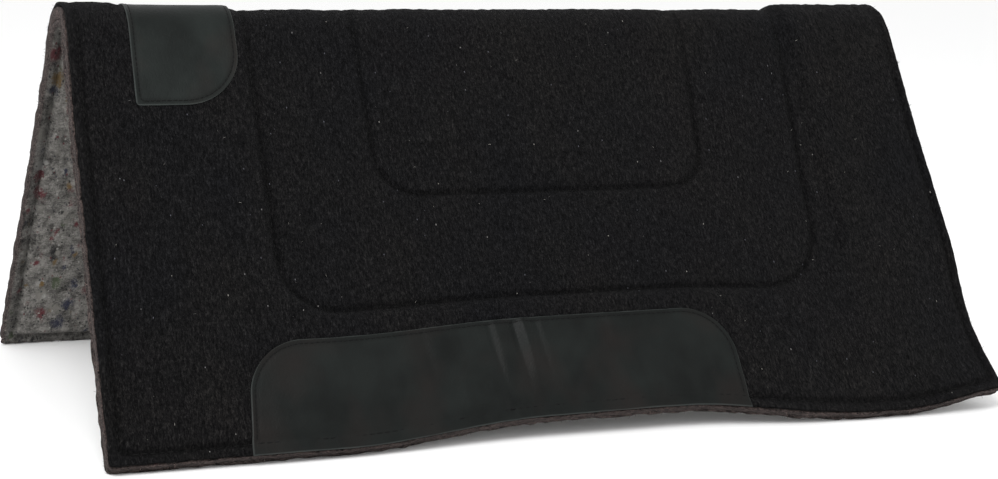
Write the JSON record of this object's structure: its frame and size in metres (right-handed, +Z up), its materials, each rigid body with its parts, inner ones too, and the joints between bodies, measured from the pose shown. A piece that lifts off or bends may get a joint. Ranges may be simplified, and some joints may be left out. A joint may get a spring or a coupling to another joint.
{
  "type": "saddle pad",
  "caption": "Thick layered felt saddle pad that folds along its spine, quilted in two nested U seams, with a leather wither patch and leather wear panels.",
  "frame": {"origin": "on the floor, midway between the two hems and midway along the spine", "axes": "+X along the spine towards the rear of the pad, +Y towards the right flap, +Z up"},
  "size_m": [0.762, 0.461, 0.3246],
  "materials": {
    "face_felt": "matte",
    "core_felt": "matte",
    "underside_felt": "matte",
    "leather": "satin",
    "thread": "satin"
  },
  "bodies": {
    "right_side": {"right_face_felt": "face_felt", "right_core_felt": "core_felt", "right_underside_felt": "underside_felt", "right_wear_leather": "leather", "right_wither_patch": "leather", "right_edge_needle_thread": "thread", "right_edge_bobbin_thread": "thread", "right_outer_quilt_needle_thread": "thread", "right_outer_quilt_bobbin_thread": "thread", "right_inner_quilt_needle_thread": "thread", "right_inner_quilt_bobbin_thread": "thread", "right_wear_leather_needle_thread": "thread", "right_wear_leather_bobbin_thread": "thread", "right_wither_patch_needle_thread": "thread", "right_wither_patch_bobbin_thread": "thread"},
    "left_side": {"left_face_felt": "face_felt", "left_core_felt": "core_felt", "left_underside_felt": "underside_felt", "left_wear_leather": "leather", "left_wither_patch": "leather", "left_edge_needle_thread": "thread", "left_edge_bobbin_thread": "thread", "left_outer_quilt_needle_thread": "thread", "left_outer_quilt_bobbin_thread": "thread", "left_inner_quilt_needle_thread": "thread", "left_inner_quilt_bobbin_thread": "thread", "left_wear_leather_needle_thread": "thread", "left_wear_leather_bobbin_thread": "thread", "left_wither_patch_needle_thread": "thread", "left_wither_patch_bobbin_thread": "thread"}
  },
  "joints": [
    {"name": "spine_fold", "type": "hinge", "parent": "right_side", "child": "left_side", "pos_m": [0, 0, 0.32473], "axis": [-1, 0, 0], "range_deg": [-50, 112.6]}
  ]
}
